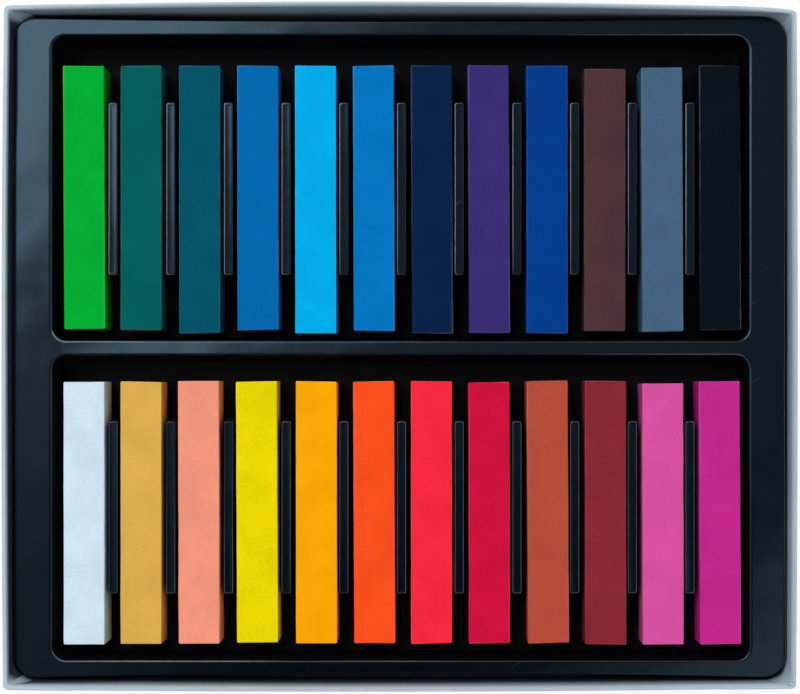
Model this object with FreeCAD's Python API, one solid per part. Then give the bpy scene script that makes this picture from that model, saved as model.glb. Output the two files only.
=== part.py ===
import FreeCAD, Part
import math
import os

# A set of square soft pastels in its presentation box: an open paper-wrapped board tray, a black
# thermoformed insert standing in it, and two rows of loose pastel sticks lying in the insert's wells.
# Millimetres. +Z up, +X to the right and +Y to the back. The origin is on the surface that the tray
# stands on, under the middle of its outline.

# --- Pastel sticks ---------------------------------------------------------------------------
stick_width = 10.1
stick_thickness = 10.2
stick_length = 65.0
stick_edge_round = 0.3

back_row_colours = [
    "leaf_green", "deep_teal", "petrol_blue", "mid_blue", "sky_cyan", "azure",
    "navy", "violet", "royal_blue", "cocoa_brown", "slate_blue", "charcoal_black",
]
front_row_colours = [
    "white", "ochre", "salmon", "lemon_yellow", "golden_yellow", "orange",
    "scarlet", "crimson", "rust", "maroon", "pink", "magenta",
]
sticks_per_row = len(back_row_colours)

# --- Thermoformed insert ---------------------------------------------------------------------
sheet = 0.5                  # plastic sheet
stick_pitch = 14.2           # from one stick to the next
well_side_space = 0.5        # beyond the end bays, at each side of a well
well_end_space = 5.0         # finger room past each end of a stick
bar_width = 3.4              # flat bar between the two wells
flange_side = 9.05           # flat margin left and right of the wells
flange_end = 4.35            # flat margin behind and in front of the wells
flange_above_stick = 0.8
flange_corner_radius = 6.0
flange_edge_round = 1.25
well_corner_radius = 3.5
well_edge_round = 0.9
well_draft = 5.0             # degrees
skirt_draft = 0.5            # degrees

rib_top_width = 2.0
rib_top_length = 42.3
rib_below_stick = 0.6        # rib top under the stick's top face
rib_flank_draft = 3.0        # degrees
rib_end_draft = 9.0          # degrees
rib_edge_round = 0.45
rib_end_share = 0.9          # how much of half the rib's width its end corners take

# --- Wrapped board tray ----------------------------------------------------------------------
board = 0.8                  # greyboard
paper = 0.12                 # covering paper
stay_tape = 0.08             # gummed tape over each corner
glue = 0.01
stay_leg = 12.0              # each way from the corner
rim_above_flange = 5.5
wrap_corner_radius = 1.2
smallest_corner = 0.05
side_wall_bow = 0.3          # outward at mid wall
end_wall_bow = 0.7
wrap_turn_in = 14.0          # paper down the inner walls from the rim
wrap_turn_under = 12.0       # paper under the bottom board from its edge
base_sheet_inset = 1.5

# --- Clearances and where loose pieces rest ---------------------------------------------------
insert_side_clearance = 0.2
insert_end_clearance = 0.55
insert_forward = 0.25        # the insert stands this far towards the front wall
stick_aside = 0.3            # each stick lies against the right of its bay
back_row_forward = 2.3       # the rows have slid towards the front of their wells
front_row_forward = 1.1
overcut = 1.0

# --- Levels ----------------------------------------------------------------------------------
board_z = 2 * paper
base_top_z = board_z + board
floor_z = base_top_z + sheet
stick_top_z = floor_z + stick_thickness
rib_top_z = stick_top_z - rib_below_stick
flange_z = stick_top_z + flange_above_stick
rim_z = flange_z + rim_above_flange
wall_board_top_z = rim_z - paper - glue

# --- Outlines --------------------------------------------------------------------------------
well_width = sticks_per_row * stick_pitch + 2 * well_side_space
well_depth = stick_length + 2 * well_end_space
flange_width = well_width + 2 * flange_side
flange_depth = 2 * well_depth + bar_width + 2 * flange_end
skirt_spread = (flange_z - base_top_z) * math.tan(math.radians(skirt_draft))
well_centre_offset = (well_depth + bar_width) / 2

stay_gap = stay_tape + 2 * glue
board_inset = paper + stay_gap
board_inner_inset = board_inset + board
turn_in_inset = board_inner_inset + glue
wall = turn_in_inset + paper
tray_width = flange_width + 2 * (skirt_spread + insert_side_clearance + wall)
tray_depth = flange_depth + 2 * (skirt_spread + insert_end_clearance + wall)


def bowed_outline(inset, z):
    """The tray's plan outline, moved inwards by inset: four bowed sides and four round corners."""
    half_x = tray_width / 2 - inset
    half_y = tray_depth / 2 - inset
    radius = max(wrap_corner_radius - inset, smallest_corner)
    diagonal = radius * (1 - math.sqrt(0.5))

    def point(x, y):
        return FreeCAD.Vector(x, y, z)

    def arc(start, middle, end):
        return Part.Arc(start, middle, end).toShape()

    right = [point(half_x, radius - half_y), point(half_x + side_wall_bow, 0), point(half_x, half_y - radius)]
    back = [point(half_x - radius, half_y), point(0, half_y + end_wall_bow), point(radius - half_x, half_y)]
    left = [point(-half_x, half_y - radius), point(-half_x - side_wall_bow, 0), point(-half_x, radius - half_y)]
    front = [point(radius - half_x, -half_y), point(0, -half_y - end_wall_bow), point(half_x - radius, -half_y)]
    sides = [right, back, left, front]
    corner_points = [
        point(half_x - diagonal, half_y - diagonal),
        point(diagonal - half_x, half_y - diagonal),
        point(diagonal - half_x, diagonal - half_y),
        point(half_x - diagonal, diagonal - half_y),
    ]
    edges = []
    for index, side in enumerate(sides):
        following = sides[(index + 1) % len(sides)]
        edges.append(arc(*side))
        edges.append(arc(side[2], corner_points[index], following[0]))
    return Part.Wire(edges)


def bowed_block(inset, low_z, high_z):
    """The tray's space moved inwards by inset, between two heights."""
    outline = Part.Face(bowed_outline(inset, low_z))
    return outline.extrude(FreeCAD.Vector(0, 0, high_z - low_z))


def tapered_block(width, depth, level_z, low_z, high_z, side_draft, end_draft, corner_radius):
    """A rounded block, width by depth at level_z, that widens upwards by the drafts in degrees."""
    side_slope = math.tan(math.radians(side_draft))
    end_slope = math.tan(math.radians(end_draft))
    low_x = width / 2 + side_slope * (low_z - level_z)
    high_x = width / 2 + side_slope * (high_z - level_z)
    low_y = depth / 2 + end_slope * (low_z - level_z)
    high_y = depth / 2 + end_slope * (high_z - level_z)
    block = Part.makeWedge(-low_x, low_z, -low_y, -high_y, -high_x, low_x, high_z, low_y, high_y, high_x)
    block.rotate(FreeCAD.Vector(0, 0, 0), FreeCAD.Vector(1, 0, 0), 90)
    upright = [edge for edge in block.Edges if edge.BoundBox.ZLength > (high_z - low_z) / 2]
    return block.makeFillet(corner_radius, upright)


def moved(shape, x, y):
    """A copy of shape, shifted in plan."""
    copy = shape.copy()
    copy.translate(FreeCAD.Vector(x, y, 0))
    return copy


def edges_at(shape, z):
    """The edges of shape that lie flat at a height."""
    flat = []
    for edge in shape.Edges:
        if edge.BoundBox.ZLength < sheet / 10 and abs(edge.CenterOfMass.z - z) < sheet / 10:
            flat.append(edge)
    return flat


# --- Insert ----------------------------------------------------------------------------------
def well_centres():
    """Front well, then back well, in the insert's own plan."""
    return [-well_centre_offset, well_centre_offset]


def rib_places():
    """Plan position of every rib: one between each two neighbouring sticks."""
    places = []
    for y in well_centres():
        for index in range(sticks_per_row - 1):
            x = (index + 1 - sticks_per_row / 2) * stick_pitch
            places.append((x, y))
    return places


def insert_block(inward, low_z):
    """The insert's outside, moved in by a sheet thickness for the underside, with its top edge rounded."""
    top_z = flange_z - inward
    block = tapered_block(
        flange_width - 2 * inward, flange_depth - 2 * inward, flange_z, low_z, top_z,
        -skirt_draft, -skirt_draft, flange_corner_radius - inward,
    )
    return block.makeFillet(flange_edge_round - inward, edges_at(block, top_z))


def well_block(outward, low_z):
    """One well, grown by a sheet thickness for the underside."""
    return tapered_block(
        well_width + 2 * outward, well_depth + 2 * outward, flange_z, low_z, flange_z + overcut,
        well_draft, well_draft, well_corner_radius + outward,
    )


def round_well_edges(shape, top_z, radius):
    """Rounds the edges where the wells meet the flange, and leaves the flange's outer edge."""
    rims = []
    for edge in edges_at(shape, top_z):
        if abs(edge.CenterOfMass.x) < well_width / 2 + sheet and abs(edge.CenterOfMass.y) < (
            well_centre_offset + well_depth / 2 + sheet + well_edge_round / 2
        ):
            rims.append(edge)
    return shape.makeFillet(radius, rims)


def rib(inward, low_z):
    """One rib between two sticks, hollow from below, with narrow rounded ends."""
    width = rib_top_width - 2 * inward
    return tapered_block(
        width, rib_top_length - 2 * inward, rib_top_z, low_z, rib_top_z - inward,
        -rib_flank_draft, -rib_end_draft, rib_end_share * width / 2,
    )


def stick_tray_insert():
    """The insert is one thin formed sheet: its upper form less the same form seen from below."""
    upper = insert_block(0, base_top_z)
    for y in well_centres():
        upper = upper.cut(moved(well_block(0, floor_z), 0, y))
    upper = round_well_edges(upper, flange_z, well_edge_round)

    hollow = insert_block(sheet, base_top_z - overcut)
    for y in well_centres():
        hollow = hollow.cut(moved(well_block(sheet, base_top_z - 2 * overcut), 0, y))
    hollow = round_well_edges(hollow, flange_z - sheet, well_edge_round - sheet)

    outer_rib = rib(0, floor_z - sheet / 2)
    outer_rib = outer_rib.makeFillet(rib_edge_round, edges_at(outer_rib, rib_top_z))
    inner_rib = rib(sheet, base_top_z - overcut)
    outer_ribs = [moved(outer_rib, x, y) for x, y in rib_places()]
    inner_ribs = [moved(inner_rib, x, y) for x, y in rib_places()]
    shell = upper.fuse(outer_ribs).cut([hollow] + inner_ribs).removeSplitter()
    return moved(shell.Solids[0], 0, -insert_forward)


# --- Sticks ----------------------------------------------------------------------------------
def stick(x, y):
    """One pressed pastel stick lying on the floor of its bay, long edges lightly rounded."""
    corner = FreeCAD.Vector(x - stick_width / 2, y - stick_length / 2, floor_z)
    block = Part.makeBox(stick_width, stick_length, stick_thickness, corner)
    long_edges = [edge for edge in block.Edges if edge.BoundBox.YLength > stick_length / 2]
    return block.makeFillet(stick_edge_round, long_edges)


def sticks():
    """Every stick by name, in two rows."""
    front_y, back_y = well_centres()
    rows = [
        (back_row_colours, back_y - back_row_forward),
        (front_row_colours, front_y - front_row_forward),
    ]
    named = {}
    for colours, row_y in rows:
        for index, colour in enumerate(colours):
            x = (index + 0.5 - sticks_per_row / 2) * stick_pitch + stick_aside
            named["stick_" + colour] = stick(x, row_y - insert_forward)
    return named


# --- Tray ------------------------------------------------------------------------------------
def base_sheet():
    """The paper pasted under the bottom board, over the turned-under edge of the wrap."""
    width = tray_width - 2 * base_sheet_inset
    depth = tray_depth - 2 * base_sheet_inset
    return Part.makeBox(width, depth, paper, FreeCAD.Vector(-width / 2, -depth / 2, 0))


def bottom_board():
    """The bottom greyboard panel, which the wall panels stand on."""
    return bowed_block(board_inset, board_z, base_top_z)


def wall_boards():
    """Four greyboard wall panels. The side walls run past the ends of the front and back walls."""
    outside = bowed_block(board_inset, base_top_z, wall_board_top_z)
    inside = bowed_block(board_inner_inset, base_top_z - overcut, rim_z + overcut)
    ring = outside.cut(inside)
    split_x = tray_width / 2 - board_inner_inset
    reach_x = tray_width / 2
    reach_y = tray_depth
    height = rim_z + overcut
    right_zone = Part.makeBox(reach_x, 2 * reach_y, height, FreeCAD.Vector(split_x, -reach_y, 0))
    left_zone = Part.makeBox(reach_x, 2 * reach_y, height, FreeCAD.Vector(-split_x - reach_x, -reach_y, 0))
    back_zone = Part.makeBox(2 * split_x, reach_y, height, FreeCAD.Vector(-split_x, 0, 0))
    front_zone = Part.makeBox(2 * split_x, reach_y, height, FreeCAD.Vector(-split_x, -reach_y, 0))
    return {
        "right_wall_board": ring.common(right_zone),
        "left_wall_board": ring.common(left_zone),
        "back_wall_board": ring.common(back_zone),
        "front_wall_board": ring.common(front_zone),
    }


def corner_stays():
    """A strip of gummed tape around each corner, under the wrap, that holds the walls together."""
    outer_inset = paper + glue
    outside = bowed_block(outer_inset, board_z, wall_board_top_z)
    inside = bowed_block(outer_inset + stay_tape, 0, rim_z + overcut)
    ring = outside.cut(inside)
    near_x = tray_width / 2 - stay_leg
    near_y = tray_depth / 2 - stay_leg
    size = 2 * stay_leg
    corners = {
        "corner_stay_back_right": (near_x, near_y),
        "corner_stay_back_left": (-near_x - size, near_y),
        "corner_stay_front_left": (-near_x - size, -near_y - size),
        "corner_stay_front_right": (near_x, -near_y - size),
    }
    stays = {}
    for name, (x, y) in corners.items():
        zone = Part.makeBox(size, size, rim_z + overcut, FreeCAD.Vector(x, y, 0))
        stays[name] = ring.common(zone)
    return stays


def wall_wrap():
    """The covering paper: up the outside of the walls, over the rim, down the inside, and turned
    under the bottom board."""
    outside = bowed_block(0, paper, rim_z)
    core = bowed_block(paper, board_z, rim_z - paper)
    mouth = bowed_block(wall, base_top_z, rim_z + overcut)
    turn_in_back = bowed_block(turn_in_inset, rim_z - wrap_turn_in, rim_z)
    window_width = tray_width - 2 * wrap_turn_under
    window_depth = tray_depth - 2 * wrap_turn_under
    window_corner = FreeCAD.Vector(-window_width / 2, -window_depth / 2, 0)
    window = Part.makeBox(window_width, window_depth, base_top_z, window_corner)
    skin = outside.cut(core).cut([mouth, window])
    turn_in = turn_in_back.cut(mouth)
    return skin.fuse(turn_in).removeSplitter().Solids[0]


def pieces():
    """Every separate piece by its node's name."""
    named = {
        "base_sheet": base_sheet(),
        "bottom_board": bottom_board(),
        "wall_wrap": wall_wrap(),
        "stick_tray_insert": stick_tray_insert(),
    }
    named.update(wall_boards())
    named.update(corner_stays())
    named.update(sticks())
    return named


os.makedirs("parts", exist_ok=True)
for node, shape in pieces().items():
    shape.exportStep("parts/" + node + ".step")
    print(node, "valid", shape.isValid(), "solids", len(shape.Solids), "mm3", round(shape.Volume, 2))
print("tray", round(tray_width, 2), "x", round(tray_depth, 2), "x", round(rim_z, 2))
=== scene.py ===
# %% [markdown]
# # A box of square pastels, dressed in Blender
#
# The box is an open tray of paper-wrapped board. A black formed plastic insert stands in it, and two
# rows of square pastel sticks lie between the insert's ribs. The solid model is already made, at its
# real size. This lesson gives each piece its finish: where a solid is too plain or too sharp, a finer
# mesh takes its place, and it rides on the same moving body.

# %% Load the model
import bmesh
import bpy
import math
import numpy as np
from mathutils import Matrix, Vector, noise


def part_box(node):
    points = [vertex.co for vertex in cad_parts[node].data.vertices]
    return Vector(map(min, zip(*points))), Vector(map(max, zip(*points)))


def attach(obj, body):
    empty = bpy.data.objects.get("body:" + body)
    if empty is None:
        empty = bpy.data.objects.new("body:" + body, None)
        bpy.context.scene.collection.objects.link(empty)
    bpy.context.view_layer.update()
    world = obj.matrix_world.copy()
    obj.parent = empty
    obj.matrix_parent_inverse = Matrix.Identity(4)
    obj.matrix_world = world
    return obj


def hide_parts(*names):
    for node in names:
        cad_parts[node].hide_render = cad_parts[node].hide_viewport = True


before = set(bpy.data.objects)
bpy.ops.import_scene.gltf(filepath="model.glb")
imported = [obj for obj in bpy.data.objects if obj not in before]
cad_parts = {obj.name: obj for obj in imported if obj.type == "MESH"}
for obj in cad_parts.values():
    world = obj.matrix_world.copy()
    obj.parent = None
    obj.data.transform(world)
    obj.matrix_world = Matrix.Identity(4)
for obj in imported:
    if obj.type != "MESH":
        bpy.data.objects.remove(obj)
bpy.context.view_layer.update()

# %% [markdown]
# ## Sizes
#
# Everything is in metres. The places of the pieces are read from the solid model, so a mesh made here
# lands where the solid is. Only the small forms that a box can't tell, such as roundings, drafts and
# ribs, are written down again as values in millimetres.

# %% Read the sizes
MM = 0.001
insert_low, insert_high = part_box("stick_tray_insert")
tray_low, tray_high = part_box("wall_wrap")
first_low, first_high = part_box("stick_leaf_green")
second_low, second_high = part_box("stick_deep_teal")

base_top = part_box("bottom_board")[1].z
floor_z = first_low.z
stick_top = first_high.z
flange_z = insert_high.z
rim_z = tray_high.z
stick_pitch = second_low.x - first_low.x
insert_centre = (insert_low + insert_high) / 2
WELLS_ASIDE = 0.25 * MM         # the sheet was trimmed a little off the middle of its wells
wells_x = insert_centre.x + WELLS_ASIDE
for label, value in (("rim", rim_z), ("flange", flange_z), ("pitch", stick_pitch)):
    print(label, round(value / MM, 2), "mm")

# %% The insert's small forms
STICKS_PER_ROW = 12
SHEET = 0.5 * MM
BAR_WIDTH = 3.4 * MM
WELL_HALF_X = STICKS_PER_ROW * stick_pitch / 2 + 0.5 * MM
WELL_HALF_Y = 37.5 * MM
WELL_CORNER = 3.5 * MM
WELL_DRAFT = math.radians(5.0)
FLANGE_CORNER = 6.0 * MM
SKIRT_DRAFT = math.radians(0.5)
RIB_HALF_X = 1.1 * MM
RIB_HALF_Y = 21.15 * MM
RIB_BELOW_STICK = 0.6 * MM
RIB_FLANK_DRAFT = math.radians(3.0)
RIB_END_DRAFT = math.radians(9.0)
rib_top = stick_top - RIB_BELOW_STICK
well_offset = WELL_HALF_Y + BAR_WIDTH / 2

# %% [markdown]
# ## Helpers for meshes
#
# The insert and the tray are both families of closed rings: a rounded rectangle that shrinks or grows
# as it climbs. So one helper gives the ring, one rounds the corners of the profile that it follows,
# and one skins ring to ring with quads.

# %% Rings and profiles
ARC_STEPS = 6
QUARTERS = ((1, 1), (-1, 1), (-1, -1), (1, -1))     # which way x and y go in each quarter of a ring


def clamp(value, low=0.0, high=1.0):
    """The value, kept between two limits."""
    return min(max(value, low), high)


def on_circle(centre, radius, angle):
    """The x and y of a point on a circle."""
    return centre[0] + radius * math.cos(angle), centre[1] + radius * math.sin(angle)


def rounded_ring(half_x, half_y, radius, z, centre=(0.0, 0.0), steps=8, between=0):
    """Points of a rounded rectangle at one height, anticlockwise seen from above.

    between is how many more points each straight side gets.
    """
    arcs = []
    for quarter, (sign_x, sign_y) in enumerate(QUARTERS):
        corner = (centre[0] + (half_x - radius) * sign_x, centre[1] + (half_y - radius) * sign_y)
        turns = [(quarter + step / steps) * math.pi / 2 for step in range(steps + 1)]
        arcs.append([Vector((*on_circle(corner, radius, turn), z)) for turn in turns])
    points = []
    for arc, following in zip(arcs, arcs[1:] + arcs[:1]):
        points += arc
        points += [arc[-1].lerp(following[0], (number + 1) / (between + 1)) for number in range(between)]
    return [tuple(point) for point in points]


def rounded_corner(before, corner, after, radius, steps=ARC_STEPS):
    """The arc that rounds one corner of a profile of (offset, height) pairs."""
    to_before = (Vector(before) - Vector(corner)).normalized()
    to_after = (Vector(after) - Vector(corner)).normalized()
    half = to_before.angle(to_after) / 2
    middle = Vector(corner) + (to_before + to_after).normalized() * (radius / math.sin(half))
    start = Vector(corner) + to_before * (radius / math.tan(half)) - middle
    end = Vector(corner) + to_after * (radius / math.tan(half)) - middle
    first = math.atan2(start.y, start.x)
    turn = (math.atan2(end.y, end.x) - first + math.pi) % (2 * math.pi) - math.pi
    return [on_circle(middle, radius, first + turn * step / steps) for step in range(steps + 1)]


def skin_between(bm, lower, upper, closed=True):
    """Quads between two rows of vertices, all the way round if closed."""
    count = len(lower)
    for index in range(count if closed else count - 1):
        following = (index + 1) % count
        bm.faces.new((lower[index], lower[following], upper[following], upper[index]))


def add_rings(bm, rings):
    """Skins a list of rings with quads and returns the rings as BMesh vertices."""
    rows = [[bm.verts.new(point) for point in ring] for ring in rings]
    for lower, upper in zip(rows, rows[1:]):
        skin_between(bm, lower, upper)
    return rows


def ring_edges(bm, row):
    """The closed chain of edges along one ring."""
    pairs = zip(row, row[1:] + row[:1])
    return [bm.edges.get(pair) or bm.edges.new(pair) for pair in pairs]


# %% Objects and finished meshes
def new_object(name, data):
    """Puts a mesh, a lamp or a camera in the scene at the origin."""
    made = bpy.data.objects.new(name, data)
    bpy.context.scene.collection.objects.link(made)
    return made


def mesh_from(bm, name):
    """Turns a BMesh into a mesh and frees it."""
    mesh = bpy.data.meshes.new(name)
    bm.to_mesh(mesh)
    bm.free()
    return mesh


def add_modifier(piece, kind, **settings):
    """Gives an object a modifier with its settings."""
    modifier = piece.modifiers.new(kind.lower(), kind)
    for label, value in settings.items():
        setattr(modifier, label, value)
    return modifier


def finished(worker, name):
    """The evaluated result of an object's modifiers, as a plain new object. The worker goes."""
    graph = bpy.context.evaluated_depsgraph_get()
    mesh = bpy.data.meshes.new_from_object(worker.evaluated_get(graph), depsgraph=graph)
    mesh.name = name
    bpy.data.objects.remove(worker)
    return new_object(name, mesh)


def dress(piece, body, node=None, material=None):
    """Hangs a piece on the body it rides on, gives it its finish, and hides the solid it stands for."""
    if material:
        piece.data.materials.append(material)
    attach(piece, body)
    if node:
        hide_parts(node)


def smooth(piece, sharp_degrees):
    """Smooth shading that keeps edges sharper than an angle, with flat areas kept flat."""
    piece.data.shade_smooth()
    piece.data.set_sharp_from_angle(angle=math.radians(sharp_degrees))
    add_modifier(piece, "WEIGHTED_NORMAL", keep_sharp=True)
    return finished(piece, piece.name)


# %% [markdown]
# ## Node trees
#
# Materials and repeated shapes are both made of nodes. These helpers add one node each and hand on its
# output, so a pattern reads like a sum. Several finishes share the same effects, so each effect is a
# node group, made once: a fine grain for plastic, paper and board, the long streaks that pressing
# leaves on a stick, and the dust that wear leaves on its edges. A group only puts out values that
# change over the surface.

# %% Make nodes
def feed(socket, value):
    """Links an input to another node's output, or sets it to a plain value."""
    if isinstance(value, bpy.types.NodeSocket):
        socket.id_data.links.new(value, socket)
    else:
        socket.default_value = value


def add_node(tree, kind, inputs=None, **settings):
    """Adds a node. inputs says what each socket, by name or number, is fed."""
    node = tree.nodes.new(kind)
    for label, value in settings.items():
        setattr(node, label, value)
    for label, value in (inputs or {}).items():
        feed(node.inputs[label], value)
    return node


def new_tree(name, kind, inputs, outputs):
    """An empty node group, what comes into it and what leaves it. Sockets are (name, type, default)."""
    tree = bpy.data.node_groups.new(name, kind)
    for way, sockets in (("INPUT", inputs), ("OUTPUT", outputs)):
        for label, socket_type, *default in sockets:
            socket = tree.interface.new_socket(label, in_out=way, socket_type="NodeSocket" + socket_type)
            if default:
                socket.default_value = default[0]
    enter = tree.nodes.new("NodeGroupInput").outputs
    leave = tree.nodes.new("NodeGroupOutput").inputs
    return tree, enter, leave


def maths(operation, first, second=0.0, clamped=False):
    """A Math node fed by sockets or plain numbers. Returns its output."""
    tree = (first if isinstance(first, bpy.types.NodeSocket) else second).id_data
    node = add_node(tree, "ShaderNodeMath", {0: first, 1: second}, operation=operation, use_clamp=clamped)
    return node.outputs[0]


def times(first, second):
    return maths("MULTIPLY", first, second)


def plus(first, second):
    return maths("ADD", first, second)


def minus(first, second):
    return maths("SUBTRACT", first, second)


def vector_maths(operation, first, second):
    """A Vector Math node fed by two places."""
    inputs = {0: first, 1: second}
    return add_node(first.id_data, "ShaderNodeVectorMath", inputs, operation=operation).outputs[0]


def split(vector):
    """A vector's X, Y and Z."""
    return add_node(vector.id_data, "ShaderNodeSeparateXYZ", {0: vector}).outputs


def remap(value, low, high, to_low=0.0, to_high=1.0):
    """Smoothly maps a value from one range to another."""
    inputs = {"Value": value, "From Min": low, "From Max": high, "To Min": to_low, "To Max": to_high}
    node = add_node(value.id_data, "ShaderNodeMapRange", inputs, interpolation_type="SMOOTHSTEP")
    return node.outputs["Result"]


def noise_at(place, scale, detail, roughness=0.5):
    """A noise texture's value at a place. scale is in cycles per metre."""
    inputs = {"Vector": place, "Scale": scale, "Detail": detail, "Roughness": roughness}
    return add_node(place.id_data, "ShaderNodeTexNoise", inputs).outputs["Fac"]


def mapped(place, **inputs):
    """A place, turned (Rotation) or stretched (Scale), for patterns that have a direction."""
    return add_node(place.id_data, "ShaderNodeMapping", {"Vector": place, **inputs}).outputs["Vector"]


def mixed(factor, first, second):
    """A mix of two colours, each a socket or a plain value."""
    inputs = {0: factor, 6: first, 7: second}
    return add_node(factor.id_data, "ShaderNodeMix", inputs, data_type="RGBA").outputs[2]


# %% Group: fine grain
def build_fine_grain():
    """Fine grain with a slower mottling under it, as a mask for the colour and a height."""
    tree, enter, leave = new_tree(
        "fine grain", "ShaderNodeTree",
        [("Place", "Vector"), ("Grain Scale", "Float", 1500.0), ("Mottle Scale", "Float", 90.0)],
        [("Mask", "Float"), ("Height", "Float")],
    )
    grain = noise_at(enter["Place"], enter["Grain Scale"], 3.0, 0.6)
    mottle = noise_at(enter["Place"], enter["Mottle Scale"], 2.0)
    feed(leave["Mask"], plus(times(grain, 0.5), times(mottle, 0.5)))
    feed(leave["Height"], grain)
    return tree


fine_grain = build_fine_grain()
print("made group:", fine_grain.name)

# %% [markdown]
# A pastel stick is pressed or pushed through a die, so it carries long faint streaks along its length.
# They are noise that is stretched along Y. Small pits and crumbs break them up.

# %% Group: pressed streaks
def build_pressed_streaks():
    """Streaks along the stick, and pits where crumbs have come away."""
    tree, enter, leave = new_tree(
        "pressed streaks", "ShaderNodeTree",
        [("Place", "Vector"), ("Pit Size", "Float", 900.0)],
        [("Streak", "Float"), ("Pit", "Float"), ("Height", "Float")],
    )
    streak = noise_at(mapped(enter["Place"], Scale=(1.0, 0.035, 1.0)), 900.0, 3.0, 0.55)
    pit = remap(noise_at(enter["Place"], enter["Pit Size"], 2.0, 0.6), 0.62, 0.74)
    feed(leave["Streak"], streak)
    feed(leave["Pit"], pit)
    feed(leave["Height"], minus(times(streak, 0.5), pit))
    return tree


pressed_streaks = build_pressed_streaks()

# %% [markdown]
# The edges of a stick rub off first and stay dusty and pale. Each stick stores where each of its
# points lies from its own middle, so its distance from the nearest edge is known: the middle one of
# the three distances to its faces. Noise breaks the pale line up.

# %% Group: dusty edges
def build_dusty_edges():
    """A mask that is 1 on the long and short edges of a block and fades into its faces."""
    tree, enter, leave = new_tree(
        "dusty edges", "ShaderNodeTree",
        [("Place", "Vector"), ("Half Size", "Vector"), ("Width", "Float", 0.0003),
         ("Object Place", "Vector")],
        [("Mask", "Float")],
    )
    place = split(enter["Place"])
    half = split(enter["Half Size"])
    gaps = [minus(half[axis], maths("ABSOLUTE", place[axis])) for axis in range(3)]
    low = maths("MINIMUM", gaps[0], gaps[1])
    high = maths("MAXIMUM", gaps[0], gaps[1])
    second = maths("MINIMUM", high, maths("MAXIMUM", low, gaps[2]))
    wear_and_highlight = noise_at(enter["Object Place"], 260.0, 3.0)
    reach = times(enter["Width"], times(wear_and_highlight, 2.0))
    feed(leave["Mask"], remap(maths("DIVIDE", second, reach), 0.0, 1.0, 1.0, 0.0))
    return tree


dusty_edges = build_dusty_edges()

# %% [markdown]
# ## Materials
#
# Each material is one Principled shader. What is the same all over a surface, such as how strongly it
# shines, is set on the shader itself. What changes over the surface comes in through the groups.

# %% Start a material
def new_material(name, shine):
    """A material, its shader's inputs, and the places that patterns read."""
    made = bpy.data.materials.new(name)
    made.use_nodes = True
    nodes = made.node_tree.nodes
    surface = nodes["Principled BSDF"].inputs
    surface["Specular IOR Level"].default_value = shine
    return made, surface, nodes.new("ShaderNodeTexCoord").outputs["Object"]


def use_group(group, **inputs):
    """Places a group and feeds its inputs, whose names are given with _ for each space."""
    fed = {label.replace("_", " "): value for label, value in inputs.items()}
    return add_node(inputs["Place"].id_data, "ShaderNodeGroup", fed, node_tree=group).outputs


def stored(place, name, kind="Fac"):
    """What the points of a mesh have stored under a name."""
    return add_node(place.id_data, "ShaderNodeAttribute", attribute_name=name).outputs[kind]


def add_bump(surface, height, strength, distance):
    """Feeds a height to the shader's normal."""
    inputs = {"Strength": strength, "Distance": distance, "Height": height}
    feed(surface["Normal"], add_node(height.id_data, "ShaderNodeBump", inputs).outputs["Normal"])


def linear(red, green, blue):
    """A colour picked on a screen, 0 to 255, as the linear values that a shader wants."""
    values = []
    for part in (red, green, blue):
        share = part / 255
        values.append(share / 12.92 if share <= 0.04045 else ((share + 0.055) / 1.055) ** 2.4)
    return (*values, 1.0)


# %% [markdown]
# The insert is thin black polystyrene. Its upper faces are satin: a very fine grain over a slow swell,
# because a formed sheet is never quite flat. Where the sheet went deep into the mould it is stretched
# and dull, and hardly reflects at all. So it has two materials. The satin one also has pale lines on its
# rounded edges, partly rubbing where sticks and fingers touch it and partly painted highlight, mostly on
# the edges that face the lamps, and a few hairline scratches. Each point of the insert stores how much
# it lies on such an edge.

# %% Group: edge rubbing and painted highlight
def build_rubbed_and_highlit_edges():
    """Breaks up an edge value, so a pale line of rubbing and painted highlight comes and goes along its edge.
    """
    tree, enter, leave = new_tree(
        "rubbed edges", "ShaderNodeTree",
        [("Edge", "Float"), ("Place", "Vector"), ("Patch Scale", "Float", 14.0)],
        [("Mask", "Float")],
    )
    patch = remap(noise_at(enter["Place"], enter["Patch Scale"], 2.0), 0.3, 0.55)
    fine = remap(noise_at(enter["Place"], 700.0, 2.0), 0.25, 0.55, 0.6, 1.0)
    feed(leave["Mask"], times(enter["Edge"], times(patch, fine)))
    return tree


rubbed_and_highlit_edges = build_rubbed_and_highlit_edges()

# %% Group: light scratches
def build_scratches():
    """Sparse hairline scratches: noise that is drawn out along one direction and cut off high."""
    tree, enter, leave = new_tree(
        "light scratches", "ShaderNodeTree",
        [("Place", "Vector"), ("Turn", "Vector", (0.0, 0.0, 1.1))],
        [("Mask", "Float")],
    )
    drawn = mapped(mapped(enter["Place"], Rotation=enter["Turn"]), Scale=(1.0, 0.05, 1.0))
    line = remap(noise_at(drawn, 1500.0, 1.0), 0.74, 0.79)
    where = remap(noise_at(enter["Place"], 35.0, 1.0), 0.55, 0.7)
    feed(leave["Mask"], times(line, where))
    return tree


light_scratches = build_scratches()

# %% Black formed sheet
BLACKEST = (0.0009, 0.0019, 0.0046, 1.0)
BLACK = (0.0016, 0.0033, 0.0076, 1.0)
# pale grey for edge rubbing and painted highlight
RUBBED_AND_HIGHLIT = (0.27, 0.305, 0.33, 1.0)
COOL_SHINE = (0.44, 0.755, 1.0, 1.0)
DULL_BLACKEST = (0.0012, 0.0014, 0.002, 1.0)
DULL_BLACK = (0.003, 0.0034, 0.0042, 1.0)


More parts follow.
